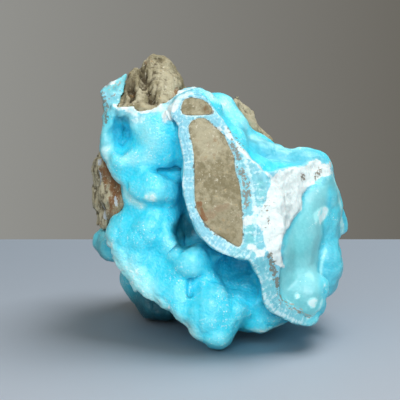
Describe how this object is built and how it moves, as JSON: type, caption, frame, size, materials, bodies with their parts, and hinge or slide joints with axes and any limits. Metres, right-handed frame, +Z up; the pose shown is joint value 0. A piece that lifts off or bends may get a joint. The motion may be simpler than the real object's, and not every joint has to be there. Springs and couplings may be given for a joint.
{
  "type": "mineral specimen",
  "caption": "Botryoidal crust of sky-blue hemimorphite grown over broken brown matrix, cut through by a break that shows matrix clasts rimmed by the crust.",
  "frame": {"origin": "under the middle of the specimen, at the level that it rests on", "axes": "+Z up, -Y the way the broken face with the clasts looks, +X to the right of that face"},
  "size_m": [0.0868, 0.0732, 0.091],
  "materials": {
    "matrix": "rough, broken rock",
    "hemimorphite": "satin, slightly translucent, finely crystalline"
  },
  "bodies": {
    "root": {"matrix_rock": "matrix", "hemimorphite_crust": "hemimorphite", "matrix_long_clast": "matrix", "matrix_small_clast": "matrix"}
  },
  "joints": []
}
